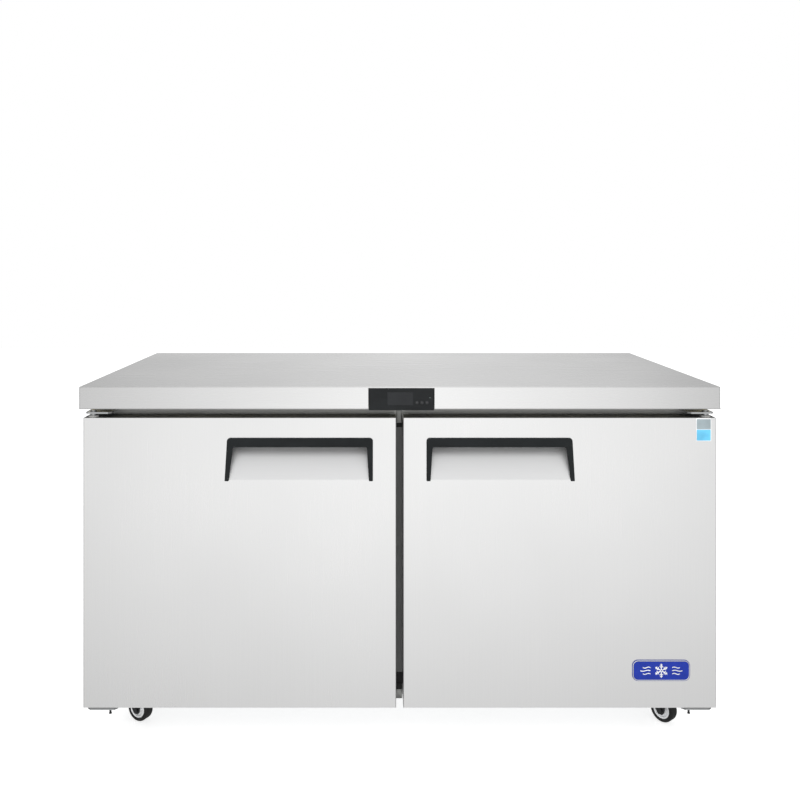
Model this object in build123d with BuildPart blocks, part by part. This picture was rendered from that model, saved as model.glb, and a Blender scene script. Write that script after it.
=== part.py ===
from build123d import *
import math
import os

os.makedirs("parts", exist_ok=True)

# Two-door stainless undercounter refrigerator on swivel casters.
# Frame: origin on the floor under the middle of the cabinet, +X to the user's
# right, +Y to the back, +Z up; the doors face -Y.  All sizes in millimetres.

# ------------------------------------------------------------------ driving sizes
TOP_HX, TOP_HY = 764.5, 381.0        # half width and half depth of the worktop
TOP_Z0, TOP_Z1 = 812.5, 866.0        # underside and top of the worktop
TOP_T = 1.2                          # worktop sheet
BODY_HX = 755.0                      # half width of the cabinet
BODY_Z0, BODY_Z1 = 96.0, 813.7       # cabinet underside and top
FRAME_Y0, FRAME_Y1 = -304.0, -302.0  # front frame sheet
BACK_Y = 376.0                       # back of the cabinet
SHEET = 1.0                          # cabinet sheet
LINER_HX = 698.0                     # outside of the food liner
LINER_Z0, LINER_Z1 = 150.0, 756.0
LINER_BACK_LOW, LINER_BACK_HIGH = 142.0, 324.0
STEP_Z = 374.0                       # liner step over the machine compartment
MACH_Y, MACH_Z = 189.0, 327.0        # machine compartment front wall and roof
MULL_HX = 45.0                       # centre post

DOOR_IN, DOOR_OUT = 8.5, 756.0       # door edges: middle gap side, hinge side
DOOR_Y0, DOOR_Y1 = -376.0, -316.0    # door face and back
DOOR_Z0, DOOR_Z1 = 98.5, 790.5
POCKET_X0, POCKET_X1 = 71.0, 409.0   # hand recess
POCKET_Z0, POCKET_Z1 = 643.0, 740.0
POCKET_A0, POCKET_A1 = 12.0, 40.0      # the recess leaves the face at A0 and curves in to A1
POCKET_KNEE = 735.0                  # height where the curve ends
PIVOT_X, PIVOT_Y, PIN_R = 738.0, -352.0, 5.0

CTRL_X, CTRL_HX = 4.0, 78.0          # temperature controller in the worktop edge
CTRL_Z0, CTRL_Z1 = 812.7, 862.5
BUTTONS = {"button_set": 41.0, "button_up": 53.0, "button_down": 65.0}
BUTTON_Z, BUTTON_R = 828.0, 4.0
LED_X, LED_Z = 72.0, 839.5

FAN_Z = 560.0                        # evaporator fan axis height
CFAN_Y, CFAN_Z = 283.0, 205.0        # condenser fan axis
LINES_XY = (250.0, 256.0)            # hole for the refrigerant lines
DRAIN_XY = (50.0, 250.0)             # hole for the drain tube
GLAND_X, GLAND_Z = 650.0, 130.0

CASTER_X, CASTER_DX = 666.5, -8.0     # half spacing and offset of the casters
CASTER_YF, CASTER_YR = -227.0, 300.0
WHEEL_R, WHEEL_W, TRAIL = 31.5, 24.0, 22.0
SHELF_Z, SHELF_Y0, SHELF_Y1 = 440.0, -238.0, 188.0
SHELF_X0, SHELF_X1 = 12.0, 686.0


# ------------------------------------------------------------------ helpers
def block(x0, x1, y0, y1, z0, z1, mode=Mode.ADD):
    with Locations(((x0 + x1) / 2, (y0 + y1) / 2, (z0 + z1) / 2)):
        Box(abs(x1 - x0), abs(y1 - y0), abs(z1 - z0), mode=mode)


def rod(p, axis, r, length, mode=Mode.ADD):
    with Locations(Plane(origin=p, z_dir=axis)):
        Cylinder(r, length, align=(Align.CENTER, Align.CENTER, Align.MIN), mode=mode)


def solid_block(x0, x1, y0, y1, z0, z1):
    with BuildPart() as p:
        block(x0, x1, y0, y1, z0, z1)
    return p.part


def solid_rod(p0, axis, r, length, bore=0.0):
    with BuildPart() as p:
        rod(p0, axis, r, length)
        if bore:
            rod(p0, axis, bore, length, mode=Mode.SUBTRACT)
    return p.part


def save(part, name):
    part.label = name
    export_step(part, "parts/" + name + ".step")


def save_group(name, pieces):
    solids = []
    for piece in pieces:
        solids.extend(piece.solids())
    save(Compound(children=solids), name)


def mirrored(part):
    with BuildPart() as p:
        mirror(part, about=Plane.YZ)
    return p.part


# ------------------------------------------------------------------ cabinet shell
with BuildPart() as side_panels:
    for s in (-1, 1):
        block(s * (BODY_HX - SHEET), s * BODY_HX, FRAME_Y1, BACK_Y, BODY_Z0, BODY_Z1)
save(side_panels.part, "side_panels")

IN_X = BODY_HX - SHEET
with BuildPart() as back_panel:
    block(-IN_X, IN_X, FRAME_Y1, MACH_Y + SHEET, BODY_Z0, BODY_Z0 + SHEET)
    block(-IN_X, IN_X, MACH_Y, MACH_Y + SHEET, BODY_Z0, MACH_Z)
    block(-IN_X, IN_X, MACH_Y, BACK_Y, MACH_Z - SHEET, MACH_Z)
    block(-IN_X, IN_X, BACK_Y - SHEET, BACK_Y, MACH_Z - SHEET, BODY_Z1)
    rod((*LINES_XY, MACH_Z - 5), (0, 0, 1), 20, 10, mode=Mode.SUBTRACT)
    rod((*DRAIN_XY, MACH_Z - 5), (0, 0, 1), 9, 10, mode=Mode.SUBTRACT)
save(back_panel.part, "back_panel")

with BuildPart() as front_frame:
    block(-BODY_HX, BODY_HX, FRAME_Y0, FRAME_Y1, BODY_Z0, BODY_Z1)
    block(-716, 716, FRAME_Y0 - 1, FRAME_Y1 + 1, 123, 777, mode=Mode.SUBTRACT)
save(front_frame.part, "front_frame")

with BuildPart() as breaker_strips:
    block(-716, 716, FRAME_Y0, FRAME_Y1, 123, 777)
    block(-697, 697, FRAME_Y0 - 1, FRAME_Y1 + 1, 151, 755, mode=Mode.SUBTRACT)
save(breaker_strips.part, "breaker_strips")

with BuildPart() as mullion_post:
    block(-MULL_HX, MULL_HX, FRAME_Y0, FRAME_Y0 + 50, 151, 755)
    block(-MULL_HX + 2, MULL_HX - 2, FRAME_Y0 + 2, FRAME_Y0 + 48, 150, 756, mode=Mode.SUBTRACT)
    fillet(mullion_post.edges().filter_by(Axis.Z).group_by(Axis.Y)[0], 1.5)
save(mullion_post.part, "mullion_post")

# insulation, as the straight-sided slabs that fill each wall
with BuildPart() as foam_hump:
    block(-LINER_HX, LINER_HX, LINER_BACK_LOW, BACK_Y - 1, MACH_Z, STEP_Z)
    rod((*LINES_XY, MACH_Z - 5), (0, 0, 1), 20, 60, mode=Mode.SUBTRACT)
    rod((*DRAIN_XY, MACH_Z - 5), (0, 0, 1), 9, 60, mode=Mode.SUBTRACT)
foam = [foam_hump.part]
for s in (-1, 1):
    foam.append(solid_block(s * LINER_HX, s * IN_X, FRAME_Y1, BACK_Y - 1, MACH_Z, BODY_Z1))
    foam.append(solid_block(s * LINER_HX, s * IN_X, FRAME_Y1, MACH_Y, BODY_Z0 + 1, MACH_Z))
foam.append(solid_block(-LINER_HX, LINER_HX, FRAME_Y1, BACK_Y - 1, LINER_Z1, BODY_Z1))
foam.append(solid_block(-LINER_HX, LINER_HX, LINER_BACK_HIGH, BACK_Y - 1, STEP_Z, LINER_Z1))
foam.append(solid_block(-LINER_HX, LINER_HX, LINER_BACK_LOW, MACH_Y, BODY_Z0 + 1, MACH_Z))
foam.append(solid_block(-LINER_HX, LINER_HX, FRAME_Y1, LINER_BACK_LOW, BODY_Z0 + 1, LINER_Z0))
foam.append(solid_block(-MULL_HX + 2, MULL_HX - 2, FRAME_Y0 + 2, FRAME_Y0 + 48, 151, 755))
save_group("cabinet_foam", foam)

with BuildPart() as inner_liner:
    with BuildSketch(Plane.YZ):
        Polygon(
            (FRAME_Y1, LINER_Z0), (LINER_BACK_LOW, LINER_Z0), (LINER_BACK_LOW, STEP_Z),
            (LINER_BACK_HIGH, STEP_Z), (LINER_BACK_HIGH, LINER_Z1), (FRAME_Y1, LINER_Z1),
            align=None,
        )
    extrude(amount=LINER_HX, both=True)
    with BuildSketch(Plane.YZ):
        Polygon(
            (FRAME_Y1 - 5, LINER_Z0 + 1), (LINER_BACK_LOW - 1, LINER_Z0 + 1),
            (LINER_BACK_LOW - 1, STEP_Z + 1), (LINER_BACK_HIGH - 1, STEP_Z + 1),
            (LINER_BACK_HIGH - 1, LINER_Z1 - 1), (FRAME_Y1 - 5, LINER_Z1 - 1),
            align=None,
        )
    extrude(amount=LINER_HX - 1, both=True, mode=Mode.SUBTRACT)
    rod((*LINES_XY, STEP_Z - 5), (0, 0, 1), 20, 10, mode=Mode.SUBTRACT)
    rod((*DRAIN_XY, STEP_Z - 5), (0, 0, 1), 9, 10, mode=Mode.SUBTRACT)
save(inner_liner.part, "inner_liner")

# ------------------------------------------------------------------ worktop
with BuildPart() as worktop:
    block(-TOP_HX, TOP_HX, -TOP_HY, TOP_HY, TOP_Z0, TOP_Z1)
    fillet(worktop.edges().filter_by(Axis.Z), 2.5)
    fillet(worktop.faces().sort_by(Axis.Z)[-1].edges(), 2.4)
    block(-TOP_HX + TOP_T, TOP_HX - TOP_T, -TOP_HY + TOP_T, TOP_HY - TOP_T,
          TOP_Z0 + TOP_T, TOP_Z1 - TOP_T, mode=Mode.SUBTRACT)
    block(-TOP_HX + 7.5, TOP_HX - 7.5, -TOP_HY + 18, TOP_HY - 4,
          TOP_Z0 - 1, TOP_Z0 + 3, mode=Mode.SUBTRACT)
    block(CTRL_X - CTRL_HX - 1, CTRL_X + CTRL_HX + 1, -TOP_HY - 1, -TOP_HY + 30,
          TOP_Z0 - 1, CTRL_Z1 + 0.2, mode=Mode.SUBTRACT)
save(worktop.part, "worktop")

CORE_X, CORE_Y = TOP_HX - TOP_T, TOP_HY - TOP_T
save_group("worktop_core", [
    solid_block(-CORE_X, CORE_X, -349, CORE_Y, BODY_Z1, TOP_Z1 - TOP_T),
    solid_block(-CORE_X, CTRL_X - CTRL_HX - 2, -CORE_Y, -349, BODY_Z1, TOP_Z1 - TOP_T),
    solid_block(CTRL_X + CTRL_HX + 2, CORE_X, -CORE_Y, -349, BODY_Z1, TOP_Z1 - TOP_T),
])

# ------------------------------------------------------------------ controller
with BuildPart() as controller_housing:
    block(CTRL_X - CTRL_HX, CTRL_X + CTRL_HX, -380, -350, CTRL_Z0, CTRL_Z1)
    fillet(controller_housing.faces().sort_by(Axis.Y)[0].edges(), 0.8)
    block(CTRL_X - CTRL_HX + 2, CTRL_X + CTRL_HX - 2, -377.5, -349, CTRL_Z0 + 2, CTRL_Z1 - 2,
          mode=Mode.SUBTRACT)
    block(-30, 32, -381, -378.5, 821, 853, mode=Mode.SUBTRACT)
    block(-26, 28, -379, -377, 825, 849, mode=Mode.SUBTRACT)
    for x in BUTTONS.values():
        rod((x, -381, BUTTON_Z), (0, 1, 0), BUTTON_R + 0.3, 5, mode=Mode.SUBTRACT)
    rod((LED_X, -380.3, LED_Z), (0, 1, 0), 1.5, 0.5)
save(controller_housing.part, "controller_housing")

with BuildPart() as controller_window:
    block(-30, 32, -380.1, -378.5, 821, 853)
    fillet(controller_window.faces().sort_by(Axis.Y)[0].edges(), 0.5)
save(controller_window.part, "controller_window")

for name, x in BUTTONS.items():
    with BuildPart() as button:
        rod((x, -380.8, BUTTON_Z), (0, 1, 0), BUTTON_R, 4.0)
        fillet(button.faces().sort_by(Axis.Y)[0].edges(), 0.6)
        rod((x, -377.2, BUTTON_Z), (0, 1, 0), BUTTON_R + 1.4, 1.0)
    save(button.part, name)


# ------------------------------------------------------------------ hinges
def hinge_pieces(s):
    with BuildPart() as top_plate:
        with BuildSketch(Plane.XY.offset(799)):
            Polygon((s * 690, -307), (s * 753, -307), (s * 753, -363), (s * 748, -368),
                    (s * 699, -368), (s * 692, -361), align=None)
        extrude(amount=4)
        block(s * 690, s * 753, -307, -304, 799, 812)
        rod((s * PIVOT_X, PIVOT_Y, 795), (0, 0, 1), PIN_R, 10, mode=Mode.SUBTRACT)
        for x in (703, 728):
            rod((s * x, -310, 807.6), (0, 1, 0), 2.5, 8, mode=Mode.SUBTRACT)
    with BuildPart() as top_pin:
        rod((s * PIVOT_X, PIVOT_Y, 770), (0, 0, 1), PIN_R, 36)
        rod((s * PIVOT_X, PIVOT_Y, 794), (0, 0, 1), 8, 5)
        rod((s * PIVOT_X, PIVOT_Y, 803), (0, 0, 1), 8, 3)
        chamfer(top_pin.faces().sort_by(Axis.Z)[0].edges(), 1)
    with BuildPart() as low_plate:
        block(s * 675, s * 748, -374, -272, 92, 96)
        chamfer(low_plate.edges().filter_by(Axis.Z).group_by(Axis.Y)[0], 8)
        rod((s * PIVOT_X, PIVOT_Y, 90), (0, 0, 1), PIN_R, 10, mode=Mode.SUBTRACT)
        rod((s * 695.5, -360, 90), (0, 0, 1), 2.5, 10, mode=Mode.SUBTRACT)
        for x in (700, 730):
            rod((s * x, -288, 90), (0, 0, 1), 3, 10, mode=Mode.SUBTRACT)
    with BuildPart() as low_pin:
        rod((s * PIVOT_X, PIVOT_Y, 92), (0, 0, 1), PIN_R, 27)
        rod((s * PIVOT_X, PIVOT_Y, 88.5), (0, 0, 1), 8, 3.5)
        chamfer(low_pin.faces().sort_by(Axis.Z)[-1].edges(), 1)
    return [top_plate.part, top_pin.part, low_plate.part, low_pin.part]


save_group("hinge_brackets", hinge_pieces(-1) + hinge_pieces(1))


# ------------------------------------------------------------------ screws and bolts
def screw(p, axis, shank_r, shank, head_r, head_h, hexagon=False):
    """Head stands off the surface at p against `axis`; the shank runs along it."""
    with BuildPart() as sc:
        rod(p, axis, shank_r, shank)
        back = tuple(-a for a in axis)
        with BuildSketch(Plane(origin=p, z_dir=back)):
            if hexagon:
                RegularPolygon(head_r, 6)
            else:
                Circle(head_r)
        extrude(amount=head_h)
        if not hexagon:
            fillet(sc.faces().sort_by(Axis(p, back))[-1].edges(), head_h * 0.45)
    return sc.part


GRILLE_SCREWS = [(x, z) for z in (108, 315) for x in (-740, -250, 250, 740)]
fasteners = []
for s in (-1, 1):
    for x in (703, 728):
        fasteners.append(screw((s * x, -307, 807.6), (0, 1, 0), 2.5, 3, 4.3, 2.4))
    for x in (700, 730):
        fasteners.append(screw((s * x, -288, 92), (0, 0, 1), 3, 4, 6, 4, True))
    fasteners.append(screw((s * 695.5, -360, 80), (0, 0, 1), 2.5, 16, 3.4, 3, True))
    for cy in (CASTER_YF, CASTER_YR):
        for dx in (-24, 24):
            for dy in (-30, 30):
                fasteners.append(screw((s * CASTER_X + CASTER_DX + dx, cy + dy, 92.5), (0, 0, 1),
                                       3.5, 3.5, 6, 4, True))
for x, z in GRILLE_SCREWS:
    fasteners.append(screw((x, 376, z), (0, -1, 0), 2, 1.5, 4, 2))
save_group("fasteners", fasteners)


# ------------------------------------------------------------------ shelf supports
def pilaster(origin, out, z0, z1, width=20.0, proud=3.0):
    """Slotted strip standing `proud` of the wall at origin, facing along `out`."""
    with BuildPart() as pl:
        with BuildSketch(Plane(origin=(origin[0], origin[1], (z0 + z1) / 2), z_dir=out,
                               x_dir=(out[1], -out[0], 0) if out[1] else (0, 1, 0))):
            Rectangle(width, z1 - z0) if not out[1] else Rectangle(width, z1 - z0)
        extrude(amount=proud)
        count = int((z1 - z0 - 20) // 25)
        with BuildSketch(Plane(origin=(origin[0], origin[1], (z0 + z1) / 2), z_dir=out,
                               x_dir=(out[1], -out[0], 0) if out[1] else (0, 1, 0))):
            with GridLocations(1, 25, 1, count):
                Rectangle(8, 5)
        extrude(amount=proud, mode=Mode.SUBTRACT)
    return pl.part


pilasters = []
clips = []
for s in (-1, 1):
    for y in (-210.0, 120.0):
        pilasters.append(pilaster((s * 697, y), (-s, 0, 0), 200 if y < 0 else 385, 735))
        with BuildPart() as clip:
            block(s * 694, s * 682, y - 8, y + 8, 433.7, 436.7)
            block(s * 694, s * 691.5, y - 8, y + 8, 418, 436.7)
        clips.append(clip.part)
    pilasters.append(pilaster((s * 24, FRAME_Y0 + 50), (0, 1, 0), 200, 735, 16))
    with BuildPart() as clip:
        block(s * 17, s * 31, -251, -233, 433.7, 436.7)
        block(s * 17, s * 31, -251, -248.5, 418, 436.7)
    clips.append(clip.part)
    pilasters.append(pilaster((s * 150, 200), (0, -1, 0), 405, 725, 16))
    with BuildPart() as clip:
        block(s * 143, s * 157, 197, 183, 433.7, 436.7)
        block(s * 143, s * 157, 197, 194.5, 418, 436.7)
    clips.append(clip.part)
save_group("shelf_pilasters", pilasters)
save_group("shelf_clips", clips)


def shelf(s):
    with BuildPart() as sh:
        for y in (SHELF_Y0, SHELF_Y1):
            rod((s * SHELF_X0, y, SHELF_Z), (s, 0, 0), 3, SHELF_X1 - SHELF_X0)
        for x in (SHELF_X0, SHELF_X1):
            rod((s * x, SHELF_Y0, SHELF_Z), (0, 1, 0), 3, SHELF_Y1 - SHELF_Y0)
            for y in (SHELF_Y0, SHELF_Y1):
                with Locations((s * x, y, SHELF_Z)):
                    Sphere(3)
        for y in (-120, -25, 70):
            rod((s * SHELF_X0, y, SHELF_Z - 1), (s, 0, 0), 2.5, SHELF_X1 - SHELF_X0)
        n = 24
        pitch = (SHELF_X1 - SHELF_X0) / n
        for i in range(1, n):
            rod((s * (SHELF_X0 + i * pitch), SHELF_Y0, SHELF_Z + 2.2), (0, 1, 0), 1.6,
                SHELF_Y1 - SHELF_Y0)
    return sh.part


save(shelf(-1), "shelf_left")
save(shelf(1), "shelf_right")

# ------------------------------------------------------------------ evaporator
with BuildPart() as evaporator_cover:
    block(-280, 280, 200, 323, 395, 735)
    fillet(evaporator_cover.faces().sort_by(Axis.Y)[0].edges(), 4)
    block(-278.8, 278.8, 201.2, 324, 396.2, 733.8, mode=Mode.SUBTRACT)
    block(-270, 270, 210, 324, 390, 400, mode=Mode.SUBTRACT)
    with BuildSketch(Plane.XZ.offset(-203)):
        for i in range(-6, 7):
            half = math.sqrt(86.0 ** 2 - (abs(i) * 12.5 + 3) ** 2)
            with Locations((0, FAN_Z + i * 12.5)):
                SlotOverall(2 * half, 6.5)
    extrude(amount=5, mode=Mode.SUBTRACT)
    block(-3, 3, 200, 201.2, FAN_Z - 84, FAN_Z + 84)
    for x in (-48, 48):
        block(x - 2, x + 2, 200, 201.2, FAN_Z - 70, FAN_Z + 70)
save(evaporator_cover.part, "evaporator_cover")

with BuildPart() as evaporator_coil:
    block(-220, 220, 312, 318, 430, 690)
    with Locations(((0), 281, 560)):
        with GridLocations(8, 1, 56, 1):
            Box(1.2, 62, 260)
    for z in (470, 515, 605, 650):
        for y in (265, 295):
            rod((-228, y, z), (1, 0, 0), 5, 456)
save(evaporator_coil.part, "evaporator_coil")

with BuildPart() as drip_tray:
    block(-225, 225, 238, 321, 404, 424)
    block(-223.8, 223.8, 239.2, 319.8, 405.2, 425, mode=Mode.SUBTRACT)
    rod((*DRAIN_XY, 125), (0, 0, 1), 8, 279.5)
    rod((*DRAIN_XY, 120), (0, 0, 1), 6.5, 300, mode=Mode.SUBTRACT)
save(drip_tray.part, "drip_tray")


def fan(blades, r_tip, r_hub, bore, length):
    """Axial fan about local Z, from z 0 to `length`: hub with twisted flat blades."""
    with BuildPart() as f:
        with Locations((0, 0, 0)):
            Cylinder(r_hub, length, align=(Align.CENTER, Align.CENTER, Align.MIN))
        for k in range(blades):
            a = 360.0 / blades * k
            pl = Plane(origin=(0, 0, length / 2)).rotated((0, 0, a))
            ux, uy = math.cos(math.radians(a)), math.sin(math.radians(a))
            tip = Plane(origin=(ux * r_hub * 0.6, uy * r_hub * 0.6, length / 2),
                        x_dir=(-uy, ux, 0), z_dir=(ux, uy, 0))
            out = Plane(origin=(ux * r_tip, uy * r_tip, length / 2),
                        x_dir=(-uy, ux, 0), z_dir=(ux, uy, 0))
            with BuildSketch(tip):
                with Locations(Rotation(0, 0, 38)):
                    Rectangle(r_hub * 0.9, 1.8)
            with BuildSketch(out):
                with Locations(Rotation(0, 0, 20)):
                    Rectangle(r_tip * 0.72, 1.4)
            loft()
        Cylinder(bore, length * 3, mode=Mode.SUBTRACT)
    return f.part


def placed(part, origin, x_dir, z_dir):
    return part.moved(Plane(origin=origin, x_dir=x_dir, z_dir=z_dir).location)


save(placed(fan(5, 78, 17, 3.06, 18), (0, 208, FAN_Z), (1, 0, 0), (0, 1, 0)), "evaporator_fan")
save(placed(fan(5, 72, 18, 4.06, 18), (-392, CFAN_Y, CFAN_Z), (0, 1, 0), (1, 0, 0)),
     "condenser_fan")

with BuildPart() as evap_motor:
    rod((0, 230.5, FAN_Z), (0, 1, 0), 26, 17)
    fillet(evap_motor.edges().filter_by(GeomType.CIRCLE), 3)
    block(-278.8, 278.8, 234, 237, FAN_Z - 12, FAN_Z + 12)
    rod((0, 206, FAN_Z), (0, 1, 0), 3, 30)
with BuildPart() as cond_motor:
    rod((-362, CFAN_Y, CFAN_Z), (1, 0, 0), 30, 42)
    fillet(cond_motor.edges().filter_by(GeomType.CIRCLE), 4)
    block(-350, -334, CFAN_Y - 14, CFAN_Y + 14, 97.5, CFAN_Z)
    block(-368, -316, CFAN_Y - 22, CFAN_Y + 22, 97.5, 100)
    rod((-394, CFAN_Y, CFAN_Z), (1, 0, 0), 4, 40)
save_group("fan_motors", [evap_motor.part, cond_motor.part])

# ------------------------------------------------------------------ machine compartment
with BuildPart() as base_tray:
    block(-753.5, 753.5, 190, 374, 96, 97.5)
    for x in (-753.5, 752.0):
        block(x, x + 1.5, 190, 374, 96, 120)
    with BuildSketch(Plane.XY.offset(90)):
        with Locations((60, 212)):
            with GridLocations(30, 10, 5, 1):
                SlotOverall(20, 6)
    extrude(amount=20, mode=Mode.SUBTRACT)
save(base_tray.part, "base_tray")

CX, CY = 430.0, 282.0
with BuildPart() as compressor_can:
    rod((CX, CY, 107), (0, 0, 1), 72, 168)
    fillet(compressor_can.faces().sort_by(Axis.Z)[-1].edges(), 30)
    block(CX - 80, CX + 80, CY - 80, CY + 80, 103.5, 107)
    rod((CX, CY, 188), (0, 0, 1), 74, 4)
    block(CX + 60, CX + 96, CY - 22, CY + 22, 160, 215)
    for dx in (-70, 70):
        for dy in (-70, 70):
            rod((CX + dx, CY + dy, 100), (0, 0, 1), 4, 10, mode=Mode.SUBTRACT)
compressor = [compressor_can.part]
for dx in (-70, 70):
    for dy in (-70, 70):
        compressor.append(solid_rod((CX + dx, CY + dy, 97.5), (0, 0, 1), 9, 6))
        compressor.append(solid_rod((CX + dx, CY + dy, 103.5), (0, 0, 1), 4, 8))
save_group("compressor", compressor)

with BuildPart() as condenser_coil:
    block(-470, -400, 200, 206, 100, 310)
    block(-470, -400, 360, 366, 100, 310)
    with Locations((-435, 283, 205)):
        with GridLocations(1, 6.5, 1, 24):
            Box(66, 1.4, 208)
    for z in (125, 158, 191, 224, 257, 290):
        for x in (-455, -415):
            rod((x, 196, z), (0, 1, 0), 5, 172)
save(condenser_coil.part, "condenser_coil")

with BuildPart() as fan_shroud:
    block(-396, -370, 200, 366, 100, 310)
    block(-397, -373, 202, 364, 102, 308, mode=Mode.SUBTRACT)
    rod((-380, CFAN_Y, CFAN_Z), (1, 0, 0), 78, 20, mode=Mode.SUBTRACT)
    for y in (200, 346):
        block(-396, -370, y, y + 20, 97.5, 102)
    block(-396, -373, 202, 364, 98, 102, mode=Mode.SUBTRACT)
save(fan_shroud.part, "fan_shroud")

with BuildPart() as condensate_pan:
    block(-90, 190, 205, 360, 97.5, 137)
    block(-88, 188, 207, 358, 99.5, 138, mode=Mode.SUBTRACT)
save(condensate_pan.part, "condensate_pan")


def tube(points, bend, r):
    with BuildPart() as t:
        with BuildLine() as path:
            FilletPolyline(*points, radius=bend)
        with BuildSketch(Plane(origin=path.line @ 0, z_dir=path.line % 0)):
            Circle(r)
        sweep(path=path.line)
    return t.part


lines = [
    tube([(405, CY, 275), (405, CY, 318), (405, 215, 318), (-435, 215, 318), (-435, 215, 310)], 7, 3),
    tube([(-470, 350, 112), (-500, 350, 112), (-500, 350, 318), (-200, 350, 318), (-200, 350, 250)], 12, 3),
    solid_rod((-200, 350, 170), (0, 0, 1), 10, 80),
    tube([(-200, 350, 170), (-200, 350, 150), (236, 350, 150), (236, 262, 150), (236, 262, 445),
          (228, 262, 445)], 5, 1.5),
    tube([(228, 276, 660), (258, 276, 660), (258, 262, 640), (258, 262, 230), (258, CY, 230),
          (357.8, CY, 230)], 6, 5),
]
save_group("refrigerant_lines", lines)

with BuildPart() as rear_grille:
    block(-753.5, 753.5, 374.5, 376, 98, 325)
    with BuildSketch(Plane.XZ.offset(-380)):
        with Locations((-430, 212)):
            with GridLocations(44, 14, 10, 13):
                SlotOverall(36, 6)
        with Locations((300, 212)):
            with GridLocations(44, 14, 10, 13):
                SlotOverall(36, 6)
        for x, z in GRILLE_SCREWS:
            with Locations((x, z)):
                Circle(2)
    extrude(amount=10, mode=Mode.SUBTRACT)
    rod((GLAND_X, 370, GLAND_Z), (0, 1, 0), 10.2, 10, mode=Mode.SUBTRACT)
save(rear_grille.part, "rear_grille")

with BuildPart() as junction_box:
    block(600, 700, 300, 372, 97.5, 160)
    block(602, 698, 302, 370, 99.5, 158, mode=Mode.SUBTRACT)
    rod((GLAND_X, 360, GLAND_Z), (0, 1, 0), 4, 20, mode=Mode.SUBTRACT)
with BuildPart() as gland:
    rod((GLAND_X, 372, GLAND_Z), (0, 1, 0), 10, 5)
    with BuildSketch(Plane(origin=(GLAND_X, 376.5, GLAND_Z), z_dir=(0, 1, 0))):
        RegularPolygon(14, 6)
    extrude(amount=3.9)
    chamfer(gland.faces().sort_by(Axis.Y)[-1].edges(), 0.5)
    rod((GLAND_X, 370, GLAND_Z), (0, 1, 0), 4, 20, mode=Mode.SUBTRACT)
save_group("cord_gland", [junction_box.part, gland.part])

# ------------------------------------------------------------------ casters
with BuildPart() as plate:
    block(-32, 32, -38, 38, 92.5, 96)
    fillet(plate.edges().filter_by(Axis.Z), 6)
    rod((0, 0, 84), (0, 0, 1), 20, 8.5)
    fillet(plate.faces().sort_by(Axis.Z)[0].edges(), 2)
    for dx in (-24, 24):
        for dy in (-30, 30):
            rod((dx, dy, 90), (0, 0, 1), 3.5, 8, mode=Mode.SUBTRACT)
    rod((0, 0, 80), (0, 0, 1), 6, 20, mode=Mode.SUBTRACT)
with BuildPart() as kingpin:
    rod((0, 0, 78), (0, 0, 1), 6, 18)
    rod((0, 0, 74), (0, 0, 1), 9, 5.9)
    chamfer(kingpin.faces().sort_by(Axis.Z)[0].edges(), 1)

CASTERS = {
    "fl": (CASTER_DX - CASTER_X, CASTER_YF, -28.0, True),
    "fr": (CASTER_DX + CASTER_X, CASTER_YF, -49.0, True),
    "rl": (CASTER_DX - CASTER_X, CASTER_YR, 112.0, False),
    "rr": (CASTER_DX + CASTER_X, CASTER_YR, 62.0, False),
}
plates = []
for x, y, _, _ in CASTERS.values():
    plates.append(plate.part.moved(Location((x, y, 0))))
    plates.append(kingpin.part.moved(Location((x, y, 0))))
save_group("caster_plates", plates)

PEDAL_U, PEDAL_Z = 30.0, 71.0


def fork(brake):
    with BuildPart() as fk_body:
        block(-16, 26, -17, 17, 80.2, 83.7)
        with BuildSketch(Plane.XZ.offset(-17)):
            Polygon((-16, 83.7), (26, 83.7), (36, 76), (37, 64), (33, 27), (28, 21),
                    (16, 21), (10, 30), align=None)
        extrude(amount=2.5)
        with BuildSketch(Plane.XZ.offset(14.5)):
            Polygon((-16, 83.7), (26, 83.7), (36, 76), (37, 64), (33, 27), (28, 21),
                    (16, 21), (10, 30), align=None)
        extrude(amount=2.5)
        rod((0, 0, 70), (0, 0, 1), 6.06, 20, mode=Mode.SUBTRACT)
        rod((TRAIL, -20, WHEEL_R), (0, 1, 0), 4, 40, mode=Mode.SUBTRACT)
        if brake:
            rod((PEDAL_U, -20, PEDAL_Z), (0, 1, 0), 2.5, 40, mode=Mode.SUBTRACT)
    with BuildPart() as axle:
        rod((TRAIL, -19, WHEEL_R), (0, 1, 0), 4, 38)
        for y in (-20.5, 17):
            with BuildSketch(Plane(origin=(TRAIL, y, WHEEL_R), z_dir=(0, 1, 0))):
                RegularPolygon(7, 6)
            extrude(amount=3.5)
    pieces = [fk_body.part, axle.part]
    if brake:
        pieces.append(solid_rod((PEDAL_U, -18.5, PEDAL_Z), (0, 1, 0), 2.5, 37))
    return pieces


with BuildPart() as tyre:
    rod((TRAIL, -WHEEL_W / 2, WHEEL_R), (0, 1, 0), WHEEL_R, WHEEL_W)
    fillet(tyre.edges(), 3.5)
    rod((TRAIL, -WHEEL_W, WHEEL_R), (0, 1, 0), 22, 2 * WHEEL_W, mode=Mode.SUBTRACT)
with BuildPart() as hub:
    rod((TRAIL, -11.5, WHEEL_R), (0, 1, 0), 22, 23)
    rod((TRAIL, -12, WHEEL_R), (0, 1, 0), 18.5, 4, mode=Mode.SUBTRACT)
    rod((TRAIL, 8, WHEEL_R), (0, 1, 0), 18.5, 4, mode=Mode.SUBTRACT)
    rod((TRAIL, -14.1, WHEEL_R), (0, 1, 0), 8, 28.2)
    rod((TRAIL, -20, WHEEL_R), (0, 1, 0), 4.1, 40, mode=Mode.SUBTRACT)

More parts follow.
